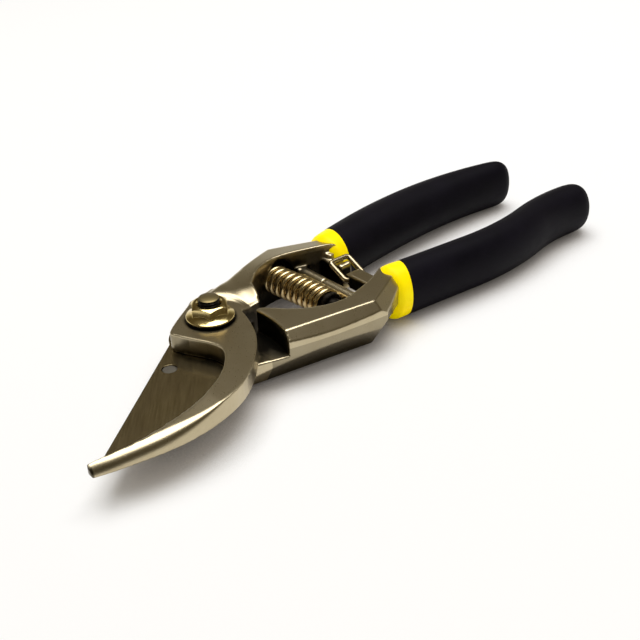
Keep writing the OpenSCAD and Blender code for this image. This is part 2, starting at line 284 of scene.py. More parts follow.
def curve_through(points, steps=8):
    """The smooth line through given points, as part.scad draws it."""
    p = [np.array(q, float) for q in points]
    line = []
    for i in range(len(p) - 1):
        a, b, c, d = p[max(i - 1, 0)], p[i], p[i + 1], p[min(i + 2, len(p) - 1)]
        for k in range(steps):
            t = k / steps
            line.append(0.5 * (2 * b + (c - a) * t + (2 * a - 5 * b + 4 * c - d) * t * t
                               + (3 * b - a - 3 * c + d) * t ** 3))
    return np.array(line + [p[-1]])


def smoothstep(x):
    """Rises softly from 0 to 1 as x does."""
    x = np.clip(x, 0, 1)
    return x * x * (3 - 2 * x)


def nearest_on(line, q):
    """For each point of q, its distance to the line, the unit way in to its left, and how far along."""
    a, b = line[:-1], line[1:]
    ab = b - a
    length = np.linalg.norm(ab, axis=1)
    starts = np.concatenate([[0], np.cumsum(length)[:-1]])
    best = np.full(len(q), np.inf)
    left = np.zeros((len(q), 2))
    along = np.zeros(len(q))
    for k in range(len(a)):
        t = np.clip((q - a[k]) @ ab[k] / (length[k] ** 2), 0, 1)
        off = q - (a[k] + t[:, None] * ab[k])
        d = np.hypot(off[:, 0], off[:, 1])
        closer = d < best
        best[closer] = d[closer]
        way = np.array([-ab[k][1], ab[k][0]]) / length[k]
        left[closer] = way
        along[closer] = starts[k] + t[closer] * length[k]
    return best, left, along


# ---------------------------------------------------------------- painted shade in closed-in places and on some walls

# How much painted shade a place has: the forged finish starts to darken at 0.2 and is near black at 0.46.
TIP_DARK = 0.42
STEP_DARK = 0.33
BAY_DARK = (0.36, 0.01)    # at its top, and what each mm further down adds
FLANK_DARK = (0.3, 0.08)   # at its top, and what is added at its foot
FLANK_FACES = (-0.5, -0.86)
STOP_DARK = 0.08
POCKET_REACH = 9.0         # mm, how far off another face closes a place in
POCKET_RAYS = 32
POCKET_BLUR = 8
RAY_LIFT = 0.6             # mm, so that a ray starts clear of the faceted surface
GOLDEN_TURN = 2.39996      # radians, spreads the rays evenly


POCKET_TREE = tree_of([frame["nodes"][node] for node in (
    "hook_handle", "blade_handle", "blade", "flange_nut", "coil_spring", "near_collar", "far_collar")])


def tip_shade(co):
    """Painted shade on the hook's blunt end."""
    return TIP_DARK * smoothstep((HOOK_TIP_X + 1.0 - co[:, 0]) / 0.7)


def bay_shade(co, normal):
    """Painted shade on the far arm's wall round the spring bay, darker the lower it is."""
    x, y, z = co.T
    off_edge = nearest_on(curve_through(BAY_EDGE), co[:, :2])[0]
    wall = (off_edge < 1.6) & (np.abs(normal[:, 2]) < 0.6) & (y > -2) & (x > 14) & (z < 15)
    at_top, each_mm = BAY_DARK
    return np.where(wall, at_top + each_mm * np.clip(14.5 - z, 0, None), 0)


def step_shade(co, normal):
    """Painted shade on the boss's upright step beside the throat."""
    x, y, z = co.T
    step = (x > -14) & (x < -8) & (y > -5) & (y < 1.5) & (z > 9.3) & (z < 15)
    return np.where(step & (np.abs(normal[:, 2]) < 0.6), STEP_DARK, 0)


def flank_shade(co, normal):
    """Painted shade: the near arm's outer flank is darker towards the table."""
    x, y, z = co.T
    outer = normal[:, :2] @ FLANK_FACES
    flank = (x > 4) & (y < -6) & (outer > 0.35) & (np.abs(normal[:, 2]) < 0.9) & (z < 12)
    at_top, at_foot = FLANK_DARK
    return np.where(flank, at_top + at_foot * smoothstep((10 - z) / 5), 0)


def on_stop(co, y_range):
    """Which points belong to one arm's stop block."""
    x, y, z = co.T
    return (np.abs(x - STOP_X) < STOP_HALF + SLACK) & (y > y_range[0]) & (y < y_range[1]) & (z > STOP_FOOT)


def store_painted_shade(piece):
    """Stores on each point how closed in it is, as painted shade: 0 in the open, towards 1 deep in a corner,
    where shade falls. One answer serves each cubic millimetre."""
    co = points_of(piece)
    normal = np.empty(len(co) * 3)
    piece.data.vertices.foreach_get("normal", normal)
    normal = normal.reshape(-1, 3)
    cell = np.concatenate([np.floor(co), np.round(normal)], 1)
    _, member = np.unique(cell, axis=0, return_inverse=True)
    member = member.ravel()
    count = np.bincount(member)
    at = np.stack([np.bincount(member, co[:, k]) for k in range(3)], 1) / count[:, None]
    way = np.stack([np.bincount(member, normal[:, k]) for k in range(3)], 1)
    i = np.arange(POCKET_RAYS) + 0.5
    up, turn = np.sqrt(1 - i / POCKET_RAYS), i * GOLDEN_TURN
    out = np.sqrt(i / POCKET_RAYS)
    fan = [(o * math.cos(t), o * math.sin(t), u) for o, t, u in zip(out, turn, up)]
    closed = np.zeros(len(at))
    for k in range(len(at)):
        n = Vector(way[k]).normalized()
        side = n.orthogonal().normalized()
        other = n.cross(side)
        start = Vector(at[k]) * MM + n * RAY_LIFT * MM
        for a, b, c in fan:
            ray = side * a + other * b + n * c
            hit, face, _, _ = POCKET_TREE.ray_cast(start, ray, POCKET_REACH * MM)
            # a face met from behind is the piece's own, over an edge that is worn round
            if hit is not None and face.dot(ray) < 0:
                closed[k] += 1 / POCKET_RAYS
    value = closed[member]
    around = neighbours(piece)
    for _ in range(POCKET_BLUR):
        value = 0.5 * value + 0.5 * mean_around(value, *around)
    # painted shade on the hook's tip, the bay's wall, the boss's step and the near arm's flank
    for scale in (tip_shade(co), bay_shade(co, normal), step_shade(co, normal), flank_shade(co, normal)):
        value = np.maximum(value, scale)
    # the painted shade is held low on the near stop's back, so that its highlight shows
    value = np.where(on_stop(co, NEAR_STOP_Y), np.minimum(value, STOP_DARK), value)
    painted_shade = piece.data.attributes.new("painted_shade", "FLOAT", "POINT")
    painted_shade.data.foreach_set("value", value)


# ---------------------------------------------------------------- finishes


def hex_colour(text):
    """An sRGB hex colour as linear RGBA."""
    channels = [int(text[i:i + 2], 16) / 255 for i in (1, 3, 5)]
    return [c / 12.92 if c <= 0.04045 else ((c + 0.055) / 1.055) ** 2.4 for c in channels] + [1.0]


def new_finish(name, **sockets):
    """A new material and its shader, with uniform values on the shader's own sockets."""
    material = bpy.data.materials.new(name)
    material.use_nodes = True
    shader = material.node_tree.nodes["Principled BSDF"]
    for socket, value in sockets.items():
        shader.inputs[socket.replace("_", " ")].default_value = value
    return material, shader


def add_node(material, kind, settings=None, **links):
    """Adds one node with its settings. Each link is an input's name with spaces as underscores, or
    its number after an n, and what it takes: a value, or an output socket."""
    node = material.node_tree.nodes.new("ShaderNode" + kind)
    for key, value in (settings or {}).items():
        setattr(node, key, value)
    for key, value in links.items():
        numbered = key[0] == "n" and key[1:].isdigit()
        socket = node.inputs[int(key[1:]) if numbered else key.replace("_", " ")]
        if isinstance(value, bpy.types.NodeSocket):
            material.node_tree.links.new(value, socket)
        else:
            socket.default_value = value
    return node


def join(material, output, socket):
    """Links an output socket to an input socket."""
    material.node_tree.links.new(output, socket)


def mixed(material, factor, first, second, how="MIX"):
    """Two colours mixed by a factor, as an output socket."""
    return add_node(material, "Mix", {"data_type": "RGBA", "blend_type": how}, Factor=factor, n6=first,
                    n7=second).outputs[2]


def ramp(material, source, stops):
    """A colour ramp from [(place, hex colour or grey), ...]."""
    node = add_node(material, "ValToRGB", Fac=source)
    elements = node.color_ramp.elements
    while len(elements) < len(stops):
        elements.new(0.5)
    for element, (place, colour) in zip(elements, stops):
        element.position = place
        element.color = hex_colour(colour) if isinstance(colour, str) else (colour, colour, colour, 1)
    return node.outputs["Color"]


def placed(material, stretch=(1, 1, 1), turn=0.0):
    """Object coordinates, for a pattern turned about Z in degrees and then stretched."""
    where = add_node(material, "TexCoord").outputs["Object"]
    return add_node(material, "Mapping", {"vector_type": "TEXTURE"}, Vector=where, Scale=stretch,
                    Rotation=(0, 0, math.radians(turn))).outputs["Vector"]


def per_mm(size):
    """A noise scale whose blotches are about size mm across."""
    return 1 / (size * MM)


def dress(piece, material):
    """Gives a piece its one material."""
    piece.data.materials.clear()
    piece.data.materials.append(material)
    return piece


def forged_steel():
    """Drop-forged carbon steel, blasted and satin plated: a warm olive grey, soft-edged sheen."""
    steel, shader = new_finish("forged_satin_steel", Metallic=1.0)
    where = placed(steel)
    broad = add_node(steel, "TexNoise", Vector=where, Scale=per_mm(14), Detail=3.0, Roughness=0.6)
    grain = add_node(steel, "TexNoise", Vector=where, Scale=per_mm(0.5), Detail=2.0, Roughness=0.6)
    # convex edges are lightened towards warm white: partly edge wear, partly a painted highlight
    wear_and_highlight = add_node(steel, "NewGeometry").outputs["Pointiness"]
    tint = ramp(steel, broad.outputs["Fac"], [(0.3, "#b3a687"), (0.72, "#bfb396")])
    edge = ramp(steel, wear_and_highlight, [(0.54, 0.0), (0.66, 0.5)])
    colour = mixed(steel, edge, tint, hex_colour("#f0e8d4"))
    # painted shade: closed-in places and the places picked out above are darkened towards near black
    painted_shade = add_node(steel, "Attribute", {"attribute_name": "painted_shade"}).outputs["Fac"]
    painted_darkening = ramp(steel, painted_shade, [(0.2, 0.0), (0.46, 0.96)])
    join(steel, mixed(steel, painted_darkening, colour, hex_colour("#1b1917")), shader.inputs["Base Color"])
    rough = ramp(steel, grain.outputs["Fac"], [(0.25, 0.272), (0.75, 0.288)])
    join(steel, rough, shader.inputs["Roughness"])
    bump = add_node(steel, "Bump", Strength=0.012, Distance=0.02 * MM, Height=grain.outputs["Fac"])
    join(steel, bump.outputs["Normal"], shader.inputs["Normal"])
    return steel


def ground_blade_steel():
    """High-carbon blade steel, surface ground along the plate: fine parallel lines and a darker tone."""
    steel, shader = new_finish("ground_blade_steel", Metallic=1.0)
    # The real lines are about 0.05 mm apart; they are drawn at 0.3 mm so that they show.
    lines = add_node(steel, "TexNoise", Vector=placed(steel, stretch=(30, 1, 1), turn=52),
                     Scale=per_mm(0.3), Detail=3.0, Roughness=0.7)
    broad = add_node(steel, "TexNoise", Vector=placed(steel), Scale=per_mm(18), Detail=2.0)
    tint = ramp(steel, broad.outputs["Fac"], [(0.3, "#b9aa86"), (0.7, "#c7b993")])
    streak = ramp(steel, lines.outputs["Fac"], [(0.32, 0.84), (0.68, 1.0)])
    colour = mixed(steel, 1.0, tint, streak, "MULTIPLY")
    # painted shade: ambient occlusion darkens the plate where the hook's wall stands on it
    corner = add_node(steel, "AmbientOcclusion", {"samples": 6}, Distance=7 * MM).outputs["AO"]
    colour = mixed(steel, 1.0, colour, ramp(steel, corner, [(0.3, 0.3), (0.6, 1.0)]), "MULTIPLY")
    join(steel, colour, shader.inputs["Base Color"])
    join(steel, ramp(steel, lines.outputs["Fac"], [(0.2, 0.17), (0.8, 0.25)]), shader.inputs["Roughness"])
    bump = add_node(steel, "Bump", Strength=0.12, Distance=0.03 * MM, Height=lines.outputs["Fac"])
    join(steel, bump.outputs["Normal"], shader.inputs["Normal"])
    return steel


def plated_wire(name, low, high, roughness):
    """Drawn steel wire with a thin bright plating."""
    wire, shader = new_finish(name, Metallic=1.0, Roughness=roughness)
    blotch = add_node(wire, "TexNoise", Vector=placed(wire), Scale=per_mm(2.2), Detail=3.0)
    join(wire, ramp(wire, blotch.outputs["Fac"], [(0.3, low), (0.7, high)]), shader.inputs["Base Color"])
    return wire


def yellow_zinc():
    """Zinc plating with a yellow passivation: pale gold with faint iridescent clouds."""
    zinc, shader = new_finish("yellow_passivated_zinc", Metallic=1.0)
    cloud = add_node(zinc, "TexNoise", Vector=placed(zinc), Scale=per_mm(3.5), Detail=4.0, Roughness=0.6)
    join(zinc, ramp(zinc, cloud.outputs["Fac"], [(0.3, "#cdb677"), (0.5, "#e2ce92"), (0.7, "#d6c084")]),
         shader.inputs["Base Color"])
    join(zinc, ramp(zinc, cloud.outputs["Fac"], [(0.3, 0.13), (0.7, 0.2)]), shader.inputs["Roughness"])
    return zinc


def dark_oxide(name, colour, bright_above=None):
    """Black-oxide steel: nearly black, with a dull oily sheen. A turned end above a height in mm is
    left bright and plated."""
    oxide, shader = new_finish(name, Metallic=1.0, Roughness=0.42)
    where = placed(oxide)
    grain = add_node(oxide, "TexNoise", Vector=where, Scale=per_mm(0.8), Detail=3.0)
    shade = ramp(oxide, grain.outputs["Fac"], [(0.3, colour), (0.75, "#38342e")])
    if bright_above is not None:
        high = add_node(oxide, "SeparateXYZ", Vector=where).outputs["Z"]
        end = add_node(oxide, "Math", {"operation": "GREATER_THAN"}, n0=high, n1=bright_above * MM)
        shade = mixed(oxide, end.outputs[0], shade, hex_colour("#82744f"))
    join(oxide, shade, shader.inputs["Base Color"])
    return oxide


def dipped_vinyl(name, low, high, roughness, blotch_mm, gloss, painted_glow=0.0):
    """Hot-dipped PVC: a soft satin skin with a faint orange peel. With painted_glow, emission in the vinyl's
    own colour is added: its pigment is fluorescent, and the emission is a painted glow that makes it brighter
    than the lamps alone make it."""
    vinyl, shader = new_finish(name, IOR=1.5, Specular_IOR_Level=gloss)
    where = placed(vinyl)
    blotch = add_node(vinyl, "TexNoise", Vector=where, Scale=per_mm(blotch_mm), Detail=4.0, Roughness=0.6)
    peel = add_node(vinyl, "TexNoise", Vector=where, Scale=per_mm(1.1), Detail=2.0, Roughness=0.5)
    tint = ramp(vinyl, blotch.outputs["Fac"], [(0.3, low), (0.7, high)])
    join(vinyl, tint, shader.inputs["Base Color"])
    if painted_glow:
        join(vinyl, tint, shader.inputs["Emission Color"])
        shader.inputs["Emission Strength"].default_value = painted_glow
    join(vinyl, ramp(vinyl, blotch.outputs["Fac"], [(0.3, roughness - 0.05), (0.7, roughness + 0.07)]),
         shader.inputs["Roughness"])
    bump = add_node(vinyl, "Bump", Strength=0.18, Distance=0.12 * MM, Height=peel.outputs["Fac"])
    join(vinyl, bump.outputs["Normal"], shader.inputs["Normal"])
    return vinyl


FORGED = forged_steel()
BLADE = ground_blade_steel()
ZINC = yellow_zinc()
SPRING = plated_wire("passivated_spring_wire", "#c4ad7c", "#ddc99c", 0.25)
BRIGHT_WIRE = plated_wire("bright_drawn_wire", "#8f8369", "#ab9d80", 0.26)
PIN = plated_wire("satin_pin_steel", "#8f8c85", "#a29e95", 0.33)
OXIDE = dark_oxide("black_oxide_steel", "#211e1b")
BOLT = dark_oxide("black_bolt_with_a_bright_end", "#1a1816", bright_above=BOLT_TOP - 0.24)
WASHER = dark_oxide("oiled_black_washer", "#17161a")
BLACK_VINYL = dipped_vinyl("black_dipped_vinyl", "#0a080f", "#110e17", 0.55, 9, 0.07)
YELLOW_VINYL = dipped_vinyl("yellow_dipped_vinyl", "#ffe000", "#ffea00", 0.42, 6, 0.1, painted_glow=0.28)

# ---------------------------------------------------------------- jaw and arms


def hook_top(x):
    """The height of the hook's top face."""
    fall = (BOSS_TOP - HOOK_TIP_TOP) / (TAPER_FROM - HOOK_TIP_X)
    return BOSS_TOP - np.clip(TAPER_FROM - x, 0, None) * fall


def round_edge(piece, line, top, radius, where):
    """Rounds a forging's top edge over a line drawn with the solid on its right. The top and the
    radius are functions of the points' x and of how far along the line they are, from 0 to 1."""
    co = points_of(piece)
    index = np.nonzero(where(co))[0]
    d, left, along = nearest_on(curve_through(line), co[index, :2])
    r = radius(along / along.max())
    h = top(co[index, 0]) - co[index, 2]
    q = np.stack([r - d, r - h], 1)
    reach = np.hypot(q[:, 0], q[:, 1])
    out = (d < r) & (h < r) & (reach > r)
    k = np.where(out, r / np.maximum(reach, 1e-9), 1)
    co[index, :2] -= left * np.where(out, r - q[:, 0] * k - d, 0)[:, None]
    co[index, 2] -= np.where(out, r - q[:, 1] * k - h, 0)
    set_points(piece, co)


STOP_BACK_R = 2.4
STOP_EASE = 2.3            # mm of height over which the rounding sets in


def round_the_stop(piece, y_range):
    """Each arm's stop block has a rounded back, which catches the light from overhead."""
    co = points_of(piece)
    across = np.clip((co[:, 0] - STOP_X) / STOP_HALF, -1, 1)
    at_top = np.clip((co[:, 2] - STOP_FOOT) / STOP_EASE, 0, 1)
    drop = STOP_BACK_R * (1 - np.sqrt(1 - 0.95 * across ** 2)) * at_top
    co[:, 2] -= np.where(on_stop(co, y_range) & (co[:, 2] < STOP_TOP + SLACK), drop, 0)
    set_points(piece, co)


VOXEL = 0.34               # fine enough for the worn edges


def forging(node, name):
    """A forging from its node: remeshed evenly so that its edges can be worn round."""
    piece = copy_of_node(node, name)
    finish_with(piece, "REMESH", mode="VOXEL", voxel_size=VOXEL * MM, use_smooth_shade=True)
    finish_with(piece, "SMOOTH", factor=0.5, iterations=2)
    return piece


CHEEK_LOW = 14.7           # height of the cheek's lowest corner, at the throat
CHEEK_WAY = (0.5, 0.87)    # the way in which the cheek rises to the arm
CHEEK_FROM, CHEEK_RISE = 3.5, 10.5
SLOPE_FROM_R = 9.5         # the slope starts this far from the pivot
SLOPE_RUN = 4.0            # and ends this much further out


def sweep_the_cheek(piece):
    """Runs the boss's top up to the arm in one easy slope, in place of the part's short step."""
    co = points_of(piece)
    x, y, z = co.T
    r = np.hypot(x, y)
    step = BOSS_TOP + np.clip(r - (PLATE_R - 1), 0, ARM_TOP - BOSS_TOP)
    fall = CHEEK_LOW + (ARM_TOP - CHEEK_LOW) * smoothstep((co[:, :2] @ CHEEK_WAY - CHEEK_FROM) / CHEEK_RISE)
    slope = BOSS_TOP + (fall - BOSS_TOP) * smoothstep((r - SLOPE_FROM_R) / SLOPE_RUN)
    arm_side = smoothstep((x + y) / 5)
    at_top = np.clip(z - (step - 1.4), 0, 1)
    co[:, 2] += (slope - step) * at_top * arm_side * (z > 10)
    set_points(piece, co)


LEAN_RISE = 0.75           # at the bay's edge
LEAN_SLOPE = 0.165         # mm down for each mm outwards
LEAN_WIDTH = 11.0


def lean_the_top(piece):
    """The far arm's top leans a little outwards, so it is the brighter of the two."""
    co = points_of(piece)
    x, y, z = co.T
    off_edge = nearest_on(curve_through(BAY_EDGE), co[:, :2])[0]
    arm = smoothstep((x - 12) / 6) * (1 - smoothstep((x - 52) / 5)) * (y > 0)
    at_top = smoothstep((z - 12) / 4)
    co[:, 2] += (LEAN_RISE - LEAN_SLOPE * np.clip(off_edge, 0, LEAN_WIDTH)) * arm * at_top
    set_points(piece, co)


def ease(piece, where, rounds):
    """Evens out the surface in one region, each point going halfway to the mean of its neighbours."""
    co = points_of(piece)
    around = neighbours(piece)
    moved = where(co) * 0.5
    for _ in range(rounds):
        for k in range(3):
            co[:, k] += moved * (mean_around(co[:, k], *around) - co[:, k])
    set_points(piece, co)


RECESS_FLOOR = SHEAR_Z - 0.08


def clear_the_recess(piece):
    """Keeps the near arm's recess floor flat right into its corner, where the hook sweeps over it."""
    co = points_of(piece)
    x, y, z = co.T
    low = (x > 4) & (x < 12) & (y < -5) & (y > -27) & (z > RECESS_FLOOR) & (z < RECESS_FLOOR + 0.44)
    co[:, 2] = np.where(low, RECESS_FLOOR, z)
    set_points(piece, co)


CROWN_R = (0.25, 3.55)     # at the heel, and towards the tip


def crown(along):
    """The radius of the hook's outer top edge: crisp at the heel, a full crown towards the tip."""
    crisp, full = CROWN_R
    return crisp + (full - crisp) * smoothstep((along - 0.5) / 0.3)


def on_hook(co):
    """Which points may belong to the hook's outer top edge."""
    return (co[:, 2] > 9.6) & (co[:, 0] < 11) & (co[:, 1] < 1)


def on_cheek_flank(co):
    """Where the cheek meets the far arm's outer bevel."""
    return (co[:, 0] > 2) & (co[:, 0] < 24) & (co[:, 1] > 6) & (co[:, 2] > 12.5)


hook = forging("hook_handle", "hook_forging")
round_the_stop(hook, FAR_STOP_Y)
store_painted_shade(hook)
sweep_the_cheek(hook)
lean_the_top(hook)
ease(hook, on_cheek_flank, rounds=14)
round_edge(hook, HOOK_EDGE, hook_top, crown, on_hook)
finish_with(hook, "SMOOTH", factor=0.5, iterations=1)
smooth_all(hook)
dress(hook, FORGED)
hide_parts("hook_handle")
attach(hook, "hook_half")

blade_arm = forging("blade_handle", "blade_half_forging")
store_painted_shade(blade_arm)
clear_the_recess(blade_arm)
round_the_stop(blade_arm, NEAR_STOP_Y)
smooth_all(blade_arm)
dress(blade_arm, FORGED)
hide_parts("blade_handle")
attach(blade_arm, "blade_half")

blade = copy_of_node("blade", "blade_plate")
finish_with(blade, "DECIMATE", decimate_type="DISSOLVE", angle_limit=math.radians(1.0))
smooth(blade)
soften(blade, 0.12)
finish_with(blade, "WEIGHTED_NORMAL", keep_sharp=True)
dress(blade, BLADE)
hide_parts("blade")
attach(blade, "blade_half")

PIN_AT = (-18.9, -6.4, BLADE_UNDER)
PIN_R = 2.2
PIN_L = 6.22               # a little short of the blade's face, so that its rim shows

pin = turned("flush_pin",
             [(PIN_R - 0.2, 0), (PIN_R, 0.2), (PIN_R, PIN_L - 0.32), (PIN_R - 0.12, PIN_L - 0.1),
              (PIN_R - 0.3, PIN_L)], PIN_AT)
smooth(pin, 25)
dress(pin, PIN)
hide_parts("blade_pin")
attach(pin, "blade_half")

# ---------------------------------------------------------------- pivot

NUT_AT = (0, 0, 16.2)
NUT_H = 4.8
NUT_TURN = 27              # degrees, as the photograph shows it: a nut stops anywhere
HEAD_TURN = 30
HEX_R = 5.774              # across corners of a 10 mm hexagon, halved
FLANGE_R = 7.1


def make_nut():
    """The flange nut: a chamfered hexagon on a thin-rimmed cone, bored and countersunk."""
    hexagon = turned("flange_nut_dressed", [(HEX_R, 0.6), (HEX_R, NUT_H)], NUT_AT, sides=6, turn=NUT_TURN)
    cone = turned("chamfer", [(7.6, 0), (7.6, 2.6), (4.6, 4.4), (4.4, 4.45)], NUT_AT)
    cut(hexagon, cone, "INTERSECT")
    flange = turned("flange",
                    [(FLANGE_R - 0.15, 0), (FLANGE_R, 0.12), (FLANGE_R, 0.3), (FLANGE_R - 0.12, 0.5),
                     (5.9, 1.18), (5.3, 1.8), (4.9, 2.4)], NUT_AT)
    cut(hexagon, flange, "UNION")
    bore = turned("bore", [(3.08, -1), (3.08, 3.6), (3.85, 4.4), (3.85, NUT_H + 1.2)], NUT_AT)
    cut(hexagon, bore)
    soften(hexagon, 0.12, angle=25)
    smooth(hexagon)
    return finish_with(hexagon, "WEIGHTED_NORMAL", keep_sharp=True)


nut = make_nut()
dress(nut, ZINC)
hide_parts("flange_nut")
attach(nut, "blade_half")

WASHER_AT = (0, 0, 15.4)
WASHER_R, WASHER_BORE, WASHER_T = 6.9, 3.1, 0.8

washer = turned("pivot_washer_dressed",
                [(WASHER_BORE, 0), (WASHER_R - 0.15, 0), (WASHER_R, 0.15), (WASHER_R, WASHER_T - 0.15),
                 (WASHER_R - 0.15, WASHER_T), (WASHER_BORE, WASHER_T), (WASHER_BORE, 0)],
                WASHER_AT, fill="NOTHING")
smooth(washer)
dress(washer, WASHER)
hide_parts("pivot_washer")
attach(washer, "blade_half")

BOLT_R, BOLT_ROOT_R = 3.0, 2.62
HEAD_H = 3.0
NECK_R, NECK_TOP = 4.9, 6.0
THREADS, THREAD_FROM, THREAD_PITCH = 3, 19.4, 0.9
# One thread as (radius, height). It is drawn as a ring, because so little of it shows.
THREAD = [(BOLT_R, 0), (BOLT_R, 0.12), (BOLT_ROOT_R, 0.42), (BOLT_ROOT_R, 0.55), (BOLT_R, 0.88)]


def make_bolt():
    """The bolt, from its hexagon head below to its bright turned end."""
    foot = (0, 0, 0)
    head = turned("pivot_bolt_dressed", [(HEX_R - 0.374, 0), (HEX_R - 0.074, 0.3), (HEX_R, HEAD_H)],
                  foot, sides=6, turn=HEAD_TURN)
    neck = turned("neck", [(NECK_R, HEAD_H - 0.1), (NECK_R, NECK_TOP)], foot, sides=4, turn=45)
    cut(head, neck, "UNION")
    profile = [(BOLT_R, NECK_TOP - 0.1), (BOLT_R, THREAD_FROM)]
    for turn in range(THREADS):
        profile += [(r, THREAD_FROM + THREAD_PITCH * turn + h) for r, h in THREAD]
    profile += [(BOLT_R - 0.05, BOLT_TOP - 0.18), (BOLT_R - 0.5, BOLT_TOP)]
    shank = turned("shank", profile, foot)
    cut(head, shank, "UNION")
    return smooth(head)


bolt = make_bolt()
dress(bolt, BOLT)
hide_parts("pivot_bolt")
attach(bolt, "blade_half")

# ---------------------------------------------------------------- spring and pegs

SPRING_X, SPRING_Z = 36.5, 9.5
SPRING_ENDS = (-9.5, 16.5)
SPRING_WIRE, SPRING_OD, SPRING_TURNS = 1.8, 9.6, 10.0
STEPS_A_TURN = 36
CLOSED_PITCH = 0.82        # of the open turns' pitch
CLOSED_TURNS = 1.1
SPRING_BOW = 1.9
BOW_FROM, BOW_RUN = -4, 20


def make_spring():
    """The return spring: a wire bent round its axis, with its end turns closed up."""
    line = bpy.data.curves.new("return_spring", "CURVE")
    line.dimensions = "3D"
    line.bevel_depth = SPRING_WIRE / 2 * MM
    line.bevel_resolution = 5
    line.use_fill_caps = True
    count = int(SPRING_TURNS * STEPS_A_TURN)
    spline = line.splines.new("POLY")
    spline.points.add(count)
    r = (SPRING_OD - SPRING_WIRE) / 2
    # the pitch is smaller over the first and the last turn
    turns = np.arange(count + 1) / STEPS_A_TURN
    opening = smoothstep(turns / CLOSED_TURNS) * smoothstep((SPRING_TURNS - turns) / CLOSED_TURNS)
    pitch = CLOSED_PITCH + (1 - CLOSED_PITCH) * opening
    rise = np.concatenate([[0], np.cumsum((pitch[1:] + pitch[:-1]) / 2)])
    span = SPRING_ENDS[1] - SPRING_ENDS[0] - SPRING_WIRE
    rise *= span / rise[-1]
    for i, (turn, y) in enumerate(zip(turns, rise)):
        a = 2 * math.pi * turn
        spline.points[i].co = ((SPRING_X + r * math.cos(a)) * MM, (SPRING_ENDS[0] + SPRING_WIRE / 2 + y) * MM,
                               (SPRING_Z + r * math.sin(a)) * MM, 1)
    # the wire leans towards the pivot at its far end, where the arm's seat pushes it
    for point in spline.points:
        point.co.x -= SPRING_BOW * MM * float(smoothstep((point.co.y / MM - BOW_FROM) / BOW_RUN))
    wire = bpy.data.objects.new("return_spring", line)
    bpy.context.scene.collection.objects.link(wire)
    take(wire)
    bpy.ops.object.convert(target="MESH")
    return outward(smooth_all(bpy.context.object))


spring = make_spring()
dress(spring, SPRING)
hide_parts("coil_spring")
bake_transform(spring)

PEG_ROOTS = (-23.0, 23.0)
PEG_R = 2.65
SEAT_R = 4.0
SEAT_T = 1.5
PEG_PAST_SEAT = 2.5


def make_peg(name, root_y, seat_y, lie):
    """A spring peg: a rod from its root in the arm to a collar, the spring's seat, and a short nose."""
    seat = abs(root_y - seat_y)
    under, end = seat - SEAT_T, seat + PEG_PAST_SEAT
    rod = [(PEG_R - 0.15, 0), (PEG_R, 0.15), (PEG_R, under)]
    collar = [(SEAT_R - 0.3, under), (SEAT_R, under + 0.3), (SEAT_R, seat - 0.2), (SEAT_R - 0.2, seat)]
    nose = [(PEG_R, seat), (PEG_R, end - 0.4), (PEG_R - 0.35, end)]
    peg = turned(name, rod + collar + nose, (0, 0, 0), sides=64)
    peg.rotation_euler = (math.radians(lie), 0, 0)
    peg.location = (SPRING_X * MM, root_y * MM, SPRING_Z * MM)
    return smooth(settle(peg))


for side, root_y, seat_y, lie, body in (
        ("near", PEG_ROOTS[0], SPRING_ENDS[0], -90, "blade_half"),
        ("far", PEG_ROOTS[1], SPRING_ENDS[1], 90, "hook_half")):
    peg = make_peg(side + "_peg_dressed", root_y, seat_y, lie)
    dress(peg, OXIDE)
    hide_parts(side + "_spring_peg")
    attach(peg, body)

# ---------------------------------------------------------------- latch

latch = frame["nodes"]["latch_bail"]
dress(latch, BRIGHT_WIRE)

# ---------------------------------------------------------------- grips

GRIP_H = 18.0
GRIP_MID = GRIP_H / 2      # mm, height of the grips' middle lines
GRIP_SIDES = 40
COLLAR_L = 5.5
LEAD = 12                  # mm of middle line before the collar
LEAN_KEPT, LEAN_FADE = 8, 22
STATION_GAP = 6
END_L = 6                  # mm that a grip's rounded end stands past its length
END_DROP = 12              # mm by which its height falls there
# Where each grip starts, its heading, how much its collar leans at its front and back, its length,
# and its runs as (length, turn in degrees)
GRIPS = {
    "near": {"start": (54.5, -16.3), "head": -5.0, "lean": (-2.0, 12.0), "length": 91.0,
             "runs": [(34, 0), (32, 18), (25, -20), (8, 0)], "body": "blade_half"},
    "far": {"start": (54.5, 13.8), "head": 15.0, "lean": (12.0, 21.0), "length": 89.0,
            "runs": [(46, -11), (43, -16), (8, 0)], "body": "hook_half"},
}
NEAR_GRIP_W = 14.6
FAR_GRIP_W, FAR_SWELL, FAR_TAPER = 16.8, 2.8, 5.0


def middle_line(side):
    """The grip's middle line as a flat curve object, from a little before the collar."""
    grip = GRIPS[side]
    x, y = grip["start"]
    a = math.radians(grip["head"])
    points = [(x - LEAD * math.cos(a), y - LEAD * math.sin(a)), (x, y)]
    for run, turn in grip["runs"]:
        half = math.radians(turn) / run / 2
        # a point each millimetre
        for _ in range(run):
            a += half
            x += math.cos(a)
            y += math.sin(a)
            a += half
            points.append((x, y))
    data = bpy.data.curves.new("middle_line", "CURVE")
    data.dimensions = "2D"
    spline = data.splines.new("POLY")
    spline.points.add(len(points) - 1)
    for point, (px, py) in zip(spline.points, points):
        point.co = (px * MM, py * MM, 0, 1)
    guide = bpy.data.objects.new("middle_line", data)
    bpy.context.scene.collection.objects.link(guide)
    return guide


